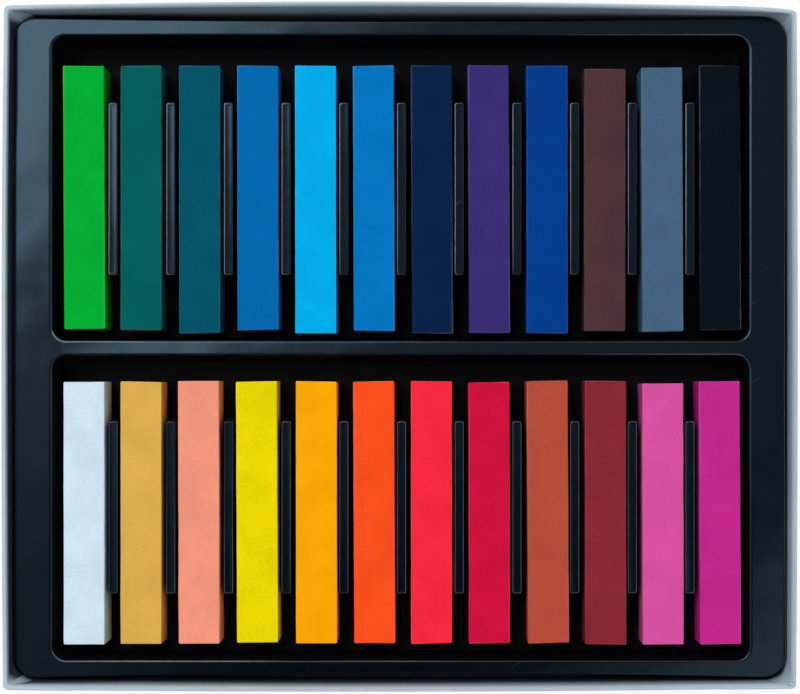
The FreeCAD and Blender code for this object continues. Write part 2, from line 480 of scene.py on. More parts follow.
def make_satin_black():
    """Upper faces of the insert: satin, with grain, a slow swell, edge rubbing with painted highlight, and
    hairlines.
    """
    made, surface, place = new_material("black sheet satin", 0.39)
    surface["Specular Tint"].default_value = COOL_SHINE
    grain = use_group(fine_grain, Place=place, Grain_Scale=2600.0, Mottle_Scale=420.0)
    rubbed_and_highlit = use_group(rubbed_and_highlit_edges, Place=place, Edge=stored(place, "edge"))
    hairs = use_group(light_scratches, Place=place)
    swell = noise_at(place, 60.0, 1.0)
    add_bump(surface, plus(times(grain["Height"], 0.016), swell), strength=0.26, distance=0.0006)
    # pale edge lines, rubbing and painted highlight, with a trace of the hairlines
    wear_and_highlight = maths("MAXIMUM", rubbed_and_highlit["Mask"], times(hairs["Mask"], 0.1))
    rough = remap(grain["Mask"], 0.3, 0.7, 0.115, 0.155)
    feed(surface["Roughness"], plus(rough, times(wear_and_highlight, 0.12)))
    feed(surface["Base Color"], mixed(wear_and_highlight, mixed(grain["Mask"], BLACKEST, BLACK), RUBBED_AND_HIGHLIT))
    return made


def make_dull_black():
    """Deep parts of the insert: stretched thin and dull."""
    made, surface, place = new_material("black sheet dull", 0.06)
    grain = use_group(fine_grain, Place=place, Grain_Scale=1700.0, Mottle_Scale=160.0)
    add_bump(surface, grain["Height"], strength=0.3, distance=0.00008)
    feed(surface["Roughness"], remap(grain["Mask"], 0.3, 0.7, 0.6, 0.75))
    feed(surface["Base Color"], mixed(grain["Mask"], DULL_BLACKEST, DULL_BLACK))
    return made


satin_black = make_satin_black()
dull_black = make_dull_black()

# %% [markdown]
# The wrap is a cool white paper. Painted shade greys it down the inside of the walls, more the deeper
# it goes, and sooner on some walls than on others. The wrap stores how deep inside each of its points
# is. Painted shade also darkens the board under the insert along the walls.

# %% Paper, board and tape
def make_paper(name, bright, dull, grain_scale, dust_and_shade=None, painted_shade_colour=None):
    """Fibrous sheet: a faint cloudiness, fine fibres, and a dull surface. The mask function, if given, mixes
    in painted shade in the given colour.
    """
    made, surface, place = new_material(name, 0.25)
    fibre = use_group(fine_grain, Place=place, Grain_Scale=grain_scale, Mottle_Scale=60.0)
    colour = mixed(remap(fibre["Mask"], 0.35, 0.65), linear(*dull), linear(*bright))
    if dust_and_shade:
        # painted shade mixed into the paper's colour
        colour = mixed(dust_and_shade(place), colour, linear(*painted_shade_colour))
    feed(surface["Base Color"], colour)
    feed(surface["Roughness"], remap(fibre["Mask"], 0.3, 0.7, 0.5, 0.66))
    add_bump(surface, fibre["Height"], strength=0.25, distance=0.00005)
    return made


def painted_shade_down_walls(place):
    """More painted shade the deeper inside the walls a point lies, with a cloudy edge."""
    cloud = times(minus(noise_at(place, 55.0, 3.0), 0.5), 0.4)
    return times(remap(plus(stored(place, "depth_inside"), cloud), 0.3, 2.2), 0.95)


def painted_shade_along_walls(place):
    """Painted shade on the board where it is near a wall."""
    parts = split(place)
    beside = minus(tray_high.x, maths("ABSOLUTE", parts["X"]))
    before = minus(tray_high.y, maths("ABSOLUTE", parts["Y"]))
    return remap(maths("MINIMUM", beside, before), 5 * MM, 12 * MM, 0.95, 0.0)


BOARD_COLOURS = ((165, 160, 150), (138, 134, 126))
white_paper = make_paper("white covering paper", (206, 214, 222), (194, 203, 212), 1900.0)
# painted shade down the inside of the walls, in a dark blue
wrap_paper = make_paper("wrap paper", (180, 199, 211), (172, 191, 204), 1900.0, painted_shade_down_walls, (22, 42, 60))
grey_board = make_paper("greyboard", *BOARD_COLOURS, 1100.0)
# painted shade along the walls, in near black
shaded_board = make_paper("dusty greyboard", *BOARD_COLOURS, 1100.0, painted_shade_along_walls, (14, 17, 20))
gummed_tape = make_paper("gummed tape", (205, 176, 134), (188, 158, 116), 1500.0)

for node, material in (("bottom_board", shaded_board), ("base_sheet", white_paper)):
    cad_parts[node].data.materials.clear()
    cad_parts[node].data.materials.append(material)

# %% [markdown]
# ## The pastel sticks
#
# Every stick is the same pressed block, each a little different: its sides wander by hundredths of a
# millimetre, its ends are never quite square, and it lies a hair crooked in its bay. That is a rule,
# so a Geometry Nodes tree makes the block, with named inputs for its sizes and its unevenness. The
# tree runs once for each stick with its own numbers, and a bevel then breaks the edges.

# %% The stick tree
END_STARTS = 0.47               # share of the length, from the middle, where an end's slant begins
END_GROWS = 33.0                # how fast the slant grows from there


def end_geometry(geometry, enter, leave, weld=None):
    """Ends a tree with real meshes, welded if asked, in one material."""
    tree = geometry.id_data
    geometry = add_node(tree, "GeometryNodeRealizeInstances", {"Geometry": geometry}).outputs[0]
    if weld:
        inputs = {"Geometry": geometry, "Distance": weld}
        geometry = add_node(tree, "GeometryNodeMergeByDistance", inputs).outputs[0]
    inputs = {"Geometry": geometry, "Material": enter["Material"]}
    feed(leave["Geometry"], add_node(tree, "GeometryNodeSetMaterial", inputs).outputs[0])


def build_stick_tree():
    """A block with many faces, pushed about by noise and sheared at its ends."""
    tree, enter, leave = new_tree(
        "pressed stick", "GeometryNodeTree",
        [("Size", "Vector"), ("Place", "Vector"), ("Unevenness", "Float"), ("Back End Slant", "Float"),
         ("Front End Slant", "Float"), ("Turn", "Float"), ("Seed", "Vector"), ("Material", "Material")],
        [("Geometry", "Geometry")],
    )
    counts = {"Vertices X": 8, "Vertices Y": 42, "Vertices Z": 8}
    block = add_node(tree, "GeometryNodeMeshCube", {"Size": enter["Size"], **counts})
    place = add_node(tree, "GeometryNodeInputPosition").outputs[0]
    parts = split(place)
    along = maths("DIVIDE", parts["Y"], split(enter["Size"])["Y"])
    pushes = []
    for label, way in (("Back End Slant", 1.0), ("Front End Slant", -1.0)):
        at_end = maths("MULTIPLY", minus(times(along, way), END_STARTS), END_GROWS, clamped=True)
        pushes.append(times(times(at_end, enter[label]), parts["X"]))
    end_push = add_node(tree, "ShaderNodeCombineXYZ", {"Y": plus(*pushes)}).outputs[0]

    where = vector_maths("ADD", place, enter["Seed"])
    wander = add_node(tree, "ShaderNodeTexNoise", {"Vector": where, "Scale": 95.0, "Detail": 3.0})
    centred = vector_maths("SUBTRACT", wander.outputs["Color"], (0.5, 0.5, 0.5))
    inputs = {0: centred, "Scale": enter["Unevenness"]}
    scaled = add_node(tree, "ShaderNodeVectorMath", inputs, operation="SCALE").outputs[0]
    inputs = {"Geometry": block.outputs["Mesh"], "Offset": vector_maths("ADD", scaled, end_push)}
    moved = add_node(tree, "GeometryNodeSetPosition", inputs).outputs[0]
    turned = add_node(tree, "ShaderNodeCombineXYZ", {"Z": enter["Turn"]}).outputs[0]
    inputs = {"Geometry": moved, "Translation": enter["Place"], "Rotation": turned}
    end_geometry(add_node(tree, "GeometryNodeTransform", inputs).outputs[0], enter, leave)
    return tree


def run_tree(worker, tree, inputs):
    """Gives an object a tree and sets its inputs by their sockets' identifiers."""
    maker = add_modifier(worker, "NODES", node_group=tree)
    for item in tree.interface.items_tree:
        if item.item_type == "SOCKET" and item.in_out == "INPUT" and item.name in inputs:
            maker[item.identifier] = inputs[item.name]


stick_tree = build_stick_tree()

# %% [markdown]
# A pastel is nearly pure pigment, so its colour is strong and it hardly shines. The dust on its edges
# and in its streaks is the same pigment with more light scattered in it, so it is a paler mix of the
# same colour, not white.

# %% Pastel material
HALF_SIZE = tuple((first_high - first_low) / 2)


def make_pastel(name, colour):
    """Chalky colour with streaks, pits and dusty edges."""
    made, surface, place = new_material("pastel " + name, 0.05)
    streaks = use_group(pressed_streaks, Place=place)
    own = stored(place, "stick_place", "Vector")
    dust_and_shade = use_group(dusty_edges, Place=own, Half_Size=HALF_SIZE, Object_Place=place)
    cloud = use_group(fine_grain, Place=place, Grain_Scale=1800.0, Mottle_Scale=110.0)
    pale = tuple(part + (1 - part) * 0.1 for part in colour)
    deep = tuple(part * 0.9 for part in colour[:3]) + (1.0,)
    light = tuple(min(part * 1.07, 1.0) for part in colour)
    body = mixed(remap(cloud["Mask"], 0.36, 0.64), deep, light)
    streaked = mixed(remap(streaks["Streak"], 0.3, 0.75, 0.0, 0.5), body, colour)
    pitted = mixed(times(streaks["Pit"], 0.35), streaked, deep)
    feed(surface["Base Color"], mixed(times(dust_and_shade["Mask"], 0.5), pitted, pale))
    feed(surface["Roughness"], remap(streaks["Streak"], 0.2, 0.8, 0.82, 0.95))
    add_bump(surface, streaks["Height"], strength=0.5, distance=0.00006)
    return made


# %% The colours, by row, and how each stick lies
# name: (colour, how far right and back of its bay's middle it lies and how much longer it is, in mm)
BACK_ROW = {
    "leaf_green": ((0, 172, 50), (-0.1, 0.1, -0.3)), "deep_teal": ((0, 93, 91), (-0.3, 0.0, 0.0)),
    "petrol_blue": ((0, 83, 103), (-0.1, -0.4, 0.8)), "mid_blue": ((0, 104, 174), (0.0, 0.0, 0.0)),
    "sky_cyan": ((0, 172, 234), (0.0, -0.4, 0.8)), "azure": ((0, 118, 193), (0.1, -0.1, 0.2)),
    "navy": ((6, 34, 73), (0.2, -0.4, 0.9)), "violet": ((60, 44, 116), (0.0, -0.3, 0.8)),
    "royal_blue": ((0, 60, 141), (0.1, -0.4, 0.8)), "cocoa_brown": ((78, 50, 54), (0.1, -0.5, -0.6)),
    "slate_blue": ((69, 100, 128), (0.0, -0.4, -0.1)), "charcoal_black": ((4, 17, 27), (0.0, 0.0, 0.0)),
}
FRONT_ROW = {
    "white": ((206, 227, 240), (-0.1, -0.3, -0.4)), "ochre": ((220, 173, 80), (-0.3, -0.2, -0.5)),
    "salmon": ((243, 150, 125), (-0.3, -0.1, -0.4)), "lemon_yellow": ((235, 215, 0), (-0.2, 0.0, -0.8)),
    "golden_yellow": ((255, 168, 0), (0.2, -0.1, -0.6)), "orange": ((255, 80, 28), (0.2, -0.1, -0.6)),
    "scarlet": ((250, 40, 60), (0.1, -0.1, -0.5)), "crimson": ((208, 15, 61), (0.1, -0.2, -0.8)),
    "rust": ((183, 77, 58), (0.3, 0.0, -0.5)), "maroon": ((137, 40, 52), (0.3, -0.2, -0.2)),
    "pink": ((216, 81, 160), (0.2, -0.5, -0.8)), "magenta": ((195, 39, 142), (0.0, -0.2, -0.3)),
}

# %% Press every stick
EDGE_BREAK = {"width": 0.28 * MM, "segments": 3, "limit_method": "ANGLE", "angle_limit": math.radians(50)}
LARGEST_SLANT = 0.022
USUAL_TURN = math.radians(0.15)
LARGEST_TURN = math.radians(0.18)
UNEVENNESS = 0.22 * MM
FIRST_SEED = 400
NOISE_STEP = (0.37, 0.0, 0.11)  # how far on in the noise each stick takes its unevenness from


def press_stick(name, colour, lie, number):
    """Makes one stick in the place of its solid, as it lies in its bay."""
    low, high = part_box("stick_" + name)
    right, back, longer = lie
    middle = (low + high) / 2 + Vector((WELLS_ASIDE + right * MM, back * MM, 0.0))
    size = high - low + Vector((0.0, longer * MM, 0.0))
    chance = np.random.default_rng(FIRST_SEED + number)
    back_slant, front_slant, turn = chance.uniform(-1, 1, 3)
    worker = new_object("worker", bpy.data.meshes.new("worker"))
    run_tree(worker, stick_tree, {
        "Size": tuple(size), "Place": tuple(middle), "Unevenness": UNEVENNESS,
        "Back End Slant": float(back_slant * LARGEST_SLANT),
        "Front End Slant": float(front_slant * LARGEST_SLANT),
        "Turn": float(USUAL_TURN + turn * LARGEST_TURN), "Seed": tuple(step * number for step in NOISE_STEP),
        "Material": make_pastel(name, linear(*colour)),
    })
    block = finished(worker, "block")
    add_modifier(block, "BEVEL", **EDGE_BREAK)
    stick = smooth(finished(block, "pastel_" + name), sharp_degrees=60)

    points = np.empty(len(stick.data.vertices) * 3, dtype=np.float32)
    stick.data.vertices.foreach_get("co", points)
    own = (points.reshape(-1, 3) - np.array(middle)) * np.array(high - low) / np.array(size)
    stored_place = stick.data.attributes.new("stick_place", "FLOAT_VECTOR", "POINT")
    stored_place.data.foreach_set("vector", own.astype(np.float32).ravel())

    dress(stick, "stick_" + name, "stick_" + name)
    return stick


sticks = []
for number, (name, (colour, lie)) in enumerate({**BACK_ROW, **FRONT_ROW}.items()):
    sticks.append(press_stick(name, colour, lie, number))
print("sticks:", len(sticks), "faces each:", len(sticks[0].data.polygons))

# %% [markdown]
# ## The formed insert
#
# Vacuum forming pulls one hot sheet down over a mould. Every edge of the result is rounded and every
# wall leans, so the part comes off the mould. An edge turns over gently first and then tightly. As the
# sheet cools it shrinks and warps, so the sides of the flange pull in and the bar between the wells
# leans a little. The sheet's upper face is built first as rings: up the skirt, over the edge, across
# the flange, and down into each well. The floors are flat faces with a hole for each rib.

# %% The open sheet
SKIRT_ROUND = 0.25 * MM
SKIRT_SHOULDER = 1.0 * MM       # radius of the gentle turn before the tight one
WELL_EDGE_ROUND = 0.36 * MM
WELL_SHOULDER = 1.2 * MM
WELL_NARROWER = 0.15 * MM       # the walls draw together a little as the sheet cools
WELL_SIDE_STRETCH = 1.9         # the left and right edges turn over this much more slowly
SHOULDER_TURN = math.radians(7)
SHOULDER_STEPS = 3
LEVEL_STRIP = 0.5 * MM          # kept level beside each shoulder
WELL_FLOOR_ROUND = 1.1 * MM
RIB_FOOT_ROUND = 0.2 * MM
RIB_EDGE_ROUND = 0.24 * MM
RIB_ROUND_SHARE = 0.45
RIB_GROOVE = 0.02 * MM          # the middle of a rib's top sinks a little as the sheet cools
GROOVE_STEPS = ((0.45, 0.25), (0.62, 0.8), (0.8, 1.0))  # share of the way in, share of the groove
PULLED_IN = {"back": 0.95 * MM, "front": 1.3 * MM, "left": 0.2 * MM, "right": 0.3 * MM}
LEFT_SPREAD = 0.2 * MM          # the left edge was trimmed a little wide
LEFT_TIGHTER = 0.6              # the left edge turns over in a shorter width, the right one in a longer
RIGHT_WIDER = 0.9
RIBS_ASIDE = 0.12 * MM
BAR_LEAN = 0.29 * MM            # how much lower the bar's back edge is than its front edge
BAR_END = 8.0 * MM              # the lean fades out over this length at each end
POINTS_BETWEEN = 14

skirt_spread = (flange_z - base_top) * math.tan(SKIRT_DRAFT)
flange_half_x = (insert_high.x - insert_low.x) / 2 - skirt_spread
flange_half_y = (insert_high.y - insert_low.y) / 2 - skirt_spread
well_lean = (flange_z - floor_z) * math.tan(WELL_DRAFT)
rib_lean = (rib_top - floor_z) * math.tan(RIB_FLANK_DRAFT)


def turned_edge(tight, shoulder):
    """An edge that turns over gently, then tightly. (distance in, height) from its side to its top."""
    rise = tight * math.cos(SHOULDER_TURN) + shoulder * (1 - math.cos(SHOULDER_TURN))
    points = []
    for step in range(ARC_STEPS + 1):
        lean = math.pi / 2 + (SHOULDER_TURN - math.pi / 2) * step / ARC_STEPS
        points.append((tight * (1 - math.sin(lean)), flange_z - rise + tight * math.cos(lean)))
    across, height = points[-1]
    for step in range(1, SHOULDER_STEPS + 1):
        lean = SHOULDER_TURN * (1 - step / SHOULDER_STEPS)
        points.append((across + shoulder * (math.sin(SHOULDER_TURN) - math.sin(lean)),
                       height + shoulder * (math.cos(lean) - math.cos(SHOULDER_TURN))))
    points.append((points[-1][0] + LEVEL_STRIP, flange_z))
    return points


def cooled(x, y, z, inward):
    """Where a point of the flange's edge ends up as the sheet cools: pulled in along its middles.

    The left edge also turns over more sharply, and the right edge more slowly.
    """
    across = (x - insert_centre.x) / flange_half_x
    x -= (RIGHT_WIDER if across > 0 else LEFT_TIGHTER) * max(inward, 0.0) * abs(across) ** 5
    across = (x - insert_centre.x) / flange_half_x
    along = (y - insert_centre.y) / flange_half_y
    pull = PULLED_IN["back"] if along > 0 else PULLED_IN["front"]
    side_pull, spread = (PULLED_IN["right"], 0.0) if across > 0 else (PULLED_IN["left"], LEFT_SPREAD)
    moved_x = x - (side_pull * max(1 - along * along, 0.0) - spread) * across ** 5
    moved_y = y - pull * max(1 - across * across, 0.0) * along ** 5
    return moved_x, moved_y, z


def skirt_rings():
    """From the foot of the skirt, up and over the flange's outer edge."""
    centre = (insert_centre.x, insert_centre.y)
    rings = []
    for inward, z in [(-skirt_spread, base_top)] + turned_edge(SKIRT_ROUND, SKIRT_SHOULDER):
        ring = rounded_ring(flange_half_x - inward, flange_half_y - inward, FLANGE_CORNER - inward, z, centre,
                            between=POINTS_BETWEEN)
        rings.append([cooled(*point, inward) for point in ring])
    return rings


def lean_bar(x, y, z):
    """Tilts the bar between the wells, so its back edge is the lower one, except near its ends."""
    if abs(y - insert_centre.y) > 2 * BAR_WIDTH:
        return x, y, z
    across_bar = clamp((y - insert_centre.y) / BAR_WIDTH + 0.5)
    from_end = clamp((WELL_HALF_X - WELL_CORNER - MM - abs(x - wells_x)) / BAR_END)
    return x, y, z - BAR_LEAN * across_bar * from_end


def well_rings(row):
    """From the flange, over the well's edge and down to its floor."""
    inside = (-well_lean - 3 * WELL_FLOOR_ROUND, floor_z)
    profile = turned_edge(WELL_EDGE_ROUND, WELL_SHOULDER)[::-1]
    profile += rounded_corner((0.0, flange_z), (-well_lean, floor_z), inside, WELL_FLOOR_ROUND)
    centre = (wells_x - WELL_NARROWER / 2, insert_centre.y + row * well_offset)
    rings = []
    for out, z in profile:
        half_x = WELL_HALF_X - WELL_NARROWER + out * (WELL_SIDE_STRETCH if out > 0 else 1)
        ring = rounded_ring(half_x, WELL_HALF_Y + out, WELL_CORNER + out, z, centre, between=POINTS_BETWEEN)
        above_floor = z > floor_z + WELL_FLOOR_ROUND
        rings.append([lean_bar(*point) for point in ring] if above_floor else ring)
    return rings


def rib_rings():
    """One rib about its own middle: from its foot on the floor, up its flanks to its top."""
    outside = (rib_lean + 3 * RIB_FOOT_ROUND, floor_z)
    foot = (rib_lean, floor_z)
    edge = (0.0, rib_top)
    profile = rounded_corner(outside, foot, edge, RIB_FOOT_ROUND, 3)
    profile += rounded_corner(foot, edge, (-RIB_HALF_X, rib_top), RIB_EDGE_ROUND, 5)
    rows = []
    for out, z in profile:
        end_lean = (rib_top - z) * (math.tan(RIB_END_DRAFT) - math.tan(RIB_FLANK_DRAFT))
        rows.append((RIB_HALF_X + out, RIB_HALF_Y + out + end_lean, z))
    for inward, sunk in GROOVE_STEPS:
        half_x = RIB_HALF_X * (1 - inward)
        rows.append((half_x, RIB_HALF_Y - inward * RIB_HALF_X, rib_top - RIB_GROOVE * sunk))
    return [rounded_ring(half_x, half_y, RIB_ROUND_SHARE * half_x, z, steps=5) for half_x, half_y, z in rows]


def fill_level(bm, edges):
    """Fills the space between level outlines with triangles that all face up."""
    made = bmesh.ops.triangle_fill(bm, edges=edges, use_beauty=True, normal=(0, 0, 1))["geom"]
    for face in made:
        if isinstance(face, bmesh.types.BMFace):
            face.normal_update()
            if face.normal.z < 0:
                face.normal_flip()


def side_at_bar(rim, towards):
    """The points of a well's level rim along its straight side at the bar, from left to right."""
    furthest = max(vert.co.y * towards for vert in rim)
    side = [vert for vert in rim if vert.co.y * towards > furthest - 0.001 * MM]
    return sorted(side, key=lambda vert: vert.co.x)


def skin_bar(bm, front_rim, back_rim):
    """Spans the bar between the wells with quads and returns the edges across its two ends."""
    front = side_at_bar(front_rim, 1)
    back = side_at_bar(back_rim, -1)
    skin_between(bm, front, back, closed=False)
    return [bm.edges.get((front[0], back[0])), bm.edges.get((front[-1], back[-1]))]


def build_open_sheet():
    """The upper face of the sheet, with a hole in the floor for each rib."""
    bm = bmesh.new()
    rims = [add_rings(bm, skirt_rings())[-1]]
    foot_ring = rib_rings()[0]
    for row in (-1, 1):
        rows = add_rings(bm, well_rings(row))
        rims.append(rows[0])
        floor_rims = ring_edges(bm, rows[-1])
        y = insert_centre.y + row * well_offset
        for column in range(STICKS_PER_ROW - 1):
            x = wells_x + RIBS_ASIDE + (column - (STICKS_PER_ROW - 2) / 2) * stick_pitch
            hole = [bm.verts.new((px + x, py + y, pz)) for px, py, pz in foot_ring]
            floor_rims += ring_edges(bm, hole)
        fill_level(bm, floor_rims)
    frame_edges = skin_bar(bm, rims[1], rims[2])
    for rim in rims:
        frame_edges += [edge for edge in ring_edges(bm, rim) if len(edge.link_faces) == 1]
    fill_level(bm, frame_edges)
    return mesh_from(bm, "open sheet")


def build_rib_form():
    """One rib as an open-bottomed cap."""
    bm = bmesh.new()
    rows = add_rings(bm, rib_rings())
    bm.faces.new(rows[-1])
    return mesh_from(bm, "rib form")


open_sheet = new_object("open sheet", build_open_sheet())
rib_form = new_object("rib form", build_rib_form())
print("open sheet faces:", len(open_sheet.data.polygons), "rib faces:", len(rib_form.data.polygons))

# %% [markdown]
# The ribs repeat on a grid, so Geometry Nodes places them: one rib form on each point of a grid, all
# of them joined to the sheet and welded to the holes in its floors. Solidify then gives the sheet its
# thickness, downwards, as the real one has, so the underside is hollow behind every form.

# %% The rib tree
def build_rib_tree():
    """Puts a rib on every point of a grid and welds them to the sheet."""
    tree, enter, leave = new_tree(
        "ribs in the wells", "GeometryNodeTree",
        [("Geometry", "Geometry"), ("Rib", "Object"), ("Columns", "Int"), ("Pitch", "Float"),
         ("Row Spacing", "Float"), ("Middle", "Vector"), ("Weld Distance", "Float"),
         ("Material", "Material")],
        [("Geometry", "Geometry")],
    )
    grid = add_node(tree, "GeometryNodeMeshGrid", {
        "Size X": times(enter["Pitch"], minus(enter["Columns"], 1.0)), "Size Y": enter["Row Spacing"],
        "Vertices X": enter["Columns"], "Vertices Y": 2,
    })
    inputs = {"Geometry": grid.outputs["Mesh"], "Translation": enter["Middle"]}
    centred = add_node(tree, "GeometryNodeTransform", inputs)
    shape = add_node(tree, "GeometryNodeObjectInfo", {"Object": enter["Rib"]})
    inputs = {"Points": centred.outputs[0], "Instance": shape.outputs["Geometry"]}
    stood = add_node(tree, "GeometryNodeInstanceOnPoints", inputs)
    joined = add_node(tree, "GeometryNodeJoinGeometry", {"Geometry": enter["Geometry"]})
    feed(joined.inputs["Geometry"], stood.outputs["Instances"])
    end_geometry(joined.outputs[0], enter, leave, weld=enter["Weld Distance"])
    return tree


run_tree(open_sheet, build_rib_tree(), {
    "Rib": rib_form, "Columns": STICKS_PER_ROW - 1, "Pitch": stick_pitch, "Row Spacing": 2 * well_offset,
    "Middle": (wells_x + RIBS_ASIDE, insert_centre.y, 0.0), "Weld Distance": 0.01 * MM,
    "Material": satin_black,
})

# %% Give the sheet its thickness
FORMED_SHEET = 0.8 * SHEET      # forming stretches the sheet and thins it
upper_face = finished(open_sheet, "formed_insert")
bpy.data.objects.remove(rib_form)
add_modifier(upper_face, "SOLIDIFY", thickness=FORMED_SHEET, offset=-1.0)
insert = smooth(finished(upper_face, "formed_insert"), sharp_degrees=42)

# %% [markdown]
# Two things are still to be written into the insert's mesh. Its deep faces get the dull material. And
# each point gets its edge value: high where the surface turns over between level and upright, at the
# height of the flange or of a rib's top, and zero on level faces and on walls. One edge of each rib gets
# more than the other, and so do the wells' edges that face the light: painted highlight, laid over the
# pale rubbing that fingers and sticks leave on the edges.

# %% Mark deep faces and rounded edges
BEYOND_WELL = 2 * MM            # from a well's edge to where the flange's outer edge begins
DULL_BELOW = 1.3                # how far under a rib's top the dull part starts, in edge roundings
LEVEL = 0.985                   # a normal that points further up than this is level, and gets neither rubbing nor painted highlight


def rub_and_highlight_on_rib(facing, in_back_row):
    """How much rubbing and painted highlight a rib's edge gets, from the way it faces."""
    if abs(facing.y) > 0.5:
        return 0.25
    if in_back_row:
        return 1.0 if facing.x < 0 else 0.1
    return 0.38 if facing.x > 0 else 0.3


def rub_and_highlight_on_flange(facing, place, outer):
    """How much rubbing and painted highlight the flange's edges get, from the way they face and where they
    are.
    """
    to_right = place.x / WELL_HALF_X
    to_back = place.y / (2 * WELL_HALF_Y)
    if outer and facing.x < -0.1:       # the flange's own left edge
        return clamp(0.5 + 0.45 * to_back, high=0.9)
    if outer:                           # of its other edges, only the right one
        return 0.25 if facing.x > 0.3 else 0.0
    if facing.x < -0.2:                 # the wells' right edges, which face left
        return clamp(0.09 + 0.16 * to_back, high=0.4)
    if facing.y > 0.2:                  # their front edges
        return clamp(0.2 - 0.75 * to_right, 0.06, 0.85)
    if facing.y < -0.2:                 # their back edges
        return clamp(0.8 * (to_right - 0.4), high=0.35)
    return 0.1                          # their left edges


def in_wells(across, along, side_margin, end_margin):
    """Whether a place off the wells' middle lies over one of them, by a margin."""
    along = abs(along)
    return (abs(across) < WELL_HALF_X - side_margin
            and BAR_WIDTH / 2 + end_margin < along < well_offset + WELL_HALF_Y - end_margin)


def is_outer(from_middle):
    """Whether a point of the flange belongs to its outer edge, from its place off the middle."""
    return (abs(from_middle.x) > WELL_HALF_X + BEYOND_WELL
            or abs(from_middle.y) > well_offset + WELL_HALF_Y + BEYOND_WELL)


def mark_insert(mesh):
    """Second material for the deep faces, and the edge value for each point."""
    mesh.materials.clear()
    mesh.materials.append(satin_black)
    mesh.materials.append(dull_black)
    deep_below = rib_top - DULL_BELOW * RIB_EDGE_ROUND
    for face in mesh.polygons:
        middle = face.center
        from_middle = middle - insert_centre
        on_skirt = is_outer(from_middle) and face.normal.z < 0.6 and face.normal.x < 0.4
        in_well = in_wells(middle.x - wells_x, from_middle.y, 0.2 * MM, 0.0)
        is_deep = middle.z < deep_below if in_well else on_skirt
        face.material_index = 1 if is_deep else 0
    edge = mesh.attributes.new("edge", "FLOAT", "POINT")
    for vert in mesh.vertices:
        level = vert.normal.z
        from_middle = vert.co - insert_centre
        in_well = in_wells(from_middle.x, from_middle.y, MM, MM)
        share = min(clamp((LEVEL - level) / 0.08), clamp((level - 0.2) / 0.25))
        # rubbing and painted highlight, by the way each edge faces
        rub_and_highlight = 0.0
        if in_well and vert.co.z > rib_top - RIB_EDGE_ROUND:
            rub_and_highlight = rub_and_highlight_on_rib(vert.normal, from_middle.y > 0)
        elif not in_well and vert.co.z > flange_z - BAR_LEAN - WELL_EDGE_ROUND:
            rub_and_highlight = rub_and_highlight_on_flange(vert.normal, from_middle, is_outer(from_middle))
        edge.data[vert.index].value = share * rub_and_highlight


mark_insert(insert.data)
dress(insert, "insert", "stick_tray_insert")
print("insert faces:", len(insert.data.polygons))

# %% [markdown]
# ## The tray
#
# Board walls stand on the tray's base, gummed tape holds their corners, and white paper covers them: up
# the outside, over the rim and down inside. A box like this is never true. Its walls bow out between
# the corners and lean, and one corner has been knocked in. So one function says where a point of the
# true tray really lies, and board, tape and paper all go through it and stay together.

# %% Where the tray really lies
SIDE_BOW = 0.3 * MM
END_BOW = 0.7 * MM
tray_half_x = (tray_high.x - tray_low.x) / 2 - SIDE_BOW
tray_half_y = (tray_high.y - tray_low.y) / 2 - END_BOW
# how far each rim leans out, in mm: at its left or front end, in its middle, at its right or back end
RIM_LEAN = {
    "right": (-0.12, -0.05, 0.0), "left": (-0.12, -0.05, -0.38),
    "back": (-0.35, 0.0, -0.85), "front": (0.33, 0.1, 0.05),
}
KNOCK = 0.8 * MM                # how far the knocked corner has moved at the rim
KNOCK_REACH = 5.0 * MM
WANDER = 0.06 * MM
WANDER_OUT = (38, 3.1)          # waves per metre, and which layer of the noise
WANDER_UP = (30, 9.7)
LEAN_CURVE = 1.4                # walls lean more and more towards their rims


def lean_at(wall, share):
    """How far a wall's rim leans out, at a place along it from -1 to 1."""
    start, middle, end = RIM_LEAN[wall]
    return (middle + (end - start) / 2 * share + ((start + end) / 2 - middle) * share * share) * MM


def drift_at(x, y, scale, layer):
    """A slow random value from 0 to 1 over the tray's plan."""
    return 0.5 + 0.5 * noise.noise(Vector((x * scale, y * scale, layer)))


def settled(x, y, z):
    """Moves a point of the true tray to its place in the used one."""
    climb = clamp(z / rim_z, high=1.1) ** LEAN_CURVE
    across = x / tray_half_x
    along = y / tray_half_y
    moved_x = x + climb * lean_at("right" if x > 0 else "left", along) * across
    moved_y = y + climb * lean_at("back" if y > 0 else "front", across) * along
    from_corner = math.exp(-max(tray_half_x - x, 0.0) / KNOCK_REACH)
    from_back = math.exp(-max(tray_half_y - y, 0.0) / KNOCK_REACH)
    moved_y -= climb * KNOCK * from_corner * from_back
    grow = 1 + climb * climb * WANDER * drift_at(x, y, *WANDER_OUT) / tray_half_y
    lift = climb * climb * WANDER * drift_at(x, y, *WANDER_UP)
    return moved_x * grow, moved_y * grow, z + lift


# %% [markdown]
# The tray's outline is walked in one go: four bowed walls with a rounded corner after each. The side
# walls' paper is folded round the corners onto the end walls, so each end wall has two laps with a
# slanting edge. Two points close together at each edge make the step sharp.

# %% The tray's outline
CORNER_ROUND = 1.2 * MM
INNER_ROUND = 0.4 * MM
CORNER_STEPS = 6
LAP_POINTS = 8
MIDDLE_POINTS = 25
POINTS_PER_WALL = LAP_POINTS + MIDDLE_POINTS + LAP_POINTS
POINTS_PER_QUARTER = POINTS_PER_WALL + CORNER_STEPS - 1
LAP_LENGTH = 13.0 * MM
LAP_SLANT = 2.5 * MM
LAP_THICKNESS = 0.1 * MM
LAP_EDGE = 0.05 * MM


def along_wall(reach, z):
    """Places along a wall from -1 to 1, with a close pair of points at the edge of each lap."""
    lap = 1 - (LAP_LENGTH + LAP_SLANT * z / rim_z) / reach
    outer = list(np.linspace(lap, 1.0, LAP_POINTS))
    inner = list(np.linspace(-lap + LAP_EDGE / reach, lap - LAP_EDGE / reach, MIDDLE_POINTS))
    return [-share for share in reversed(outer)] + inner + outer


